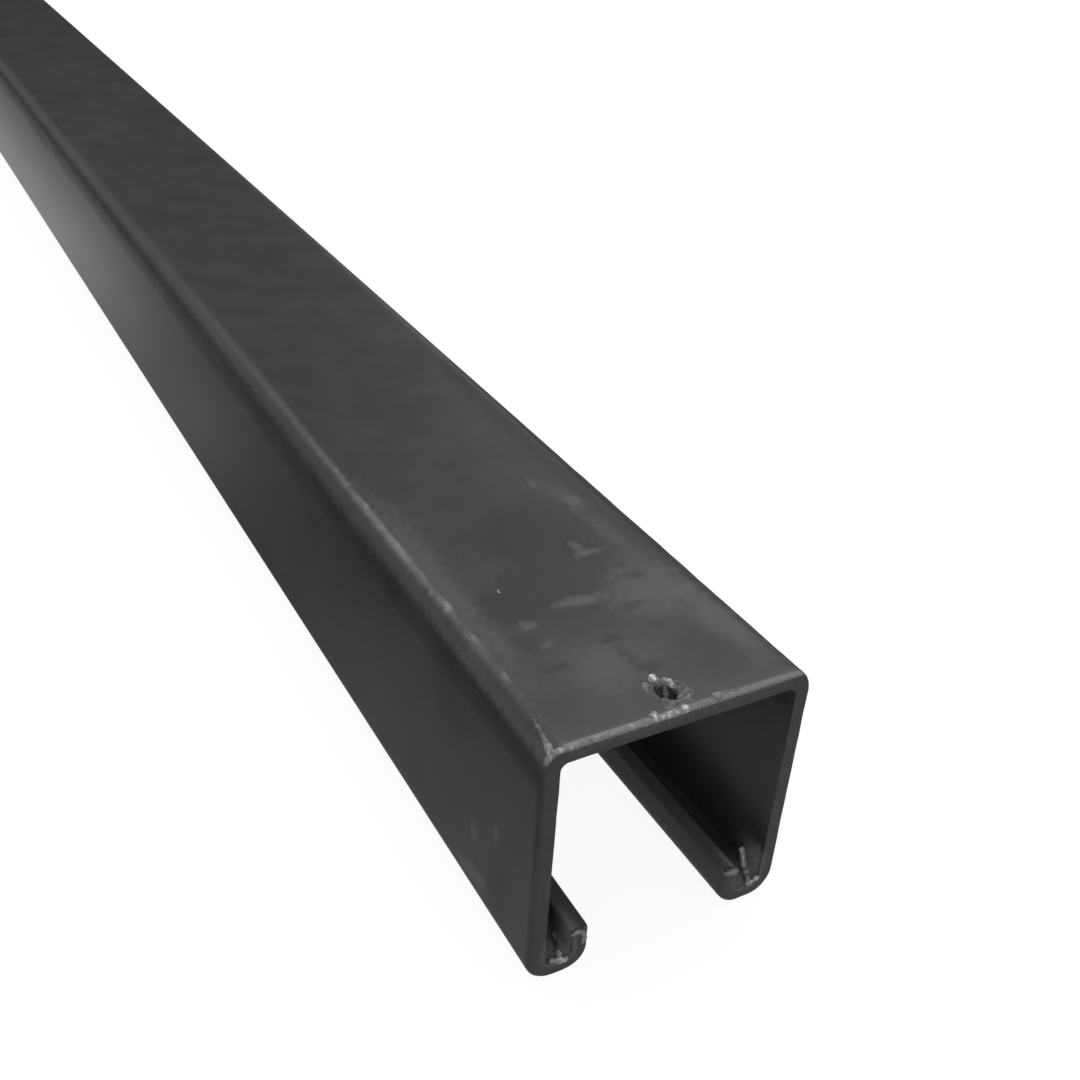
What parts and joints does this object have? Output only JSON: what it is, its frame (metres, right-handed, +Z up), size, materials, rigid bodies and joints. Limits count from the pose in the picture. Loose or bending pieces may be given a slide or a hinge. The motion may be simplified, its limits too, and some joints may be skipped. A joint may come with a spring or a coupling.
{
  "type": "strut channel",
  "caption": "Plain-backed steel strut channel: a square C section whose lips turn in and back up along a full-length slot, with a small hang hole through the web close to an end.",
  "frame": {"origin": "on the ground under the channel's feet, at the middle of its length and width", "axes": "+Y along the channel, away from the end with the hang hole; +Z up, from the slot towards the web; +X across it"},
  "size_m": [0.0412, 1, 0.0413],
  "materials": {
    "painted_steel": "satin"
  },
  "bodies": {
    "root": {"strut_channel": "painted_steel"}
  },
  "joints": []
}
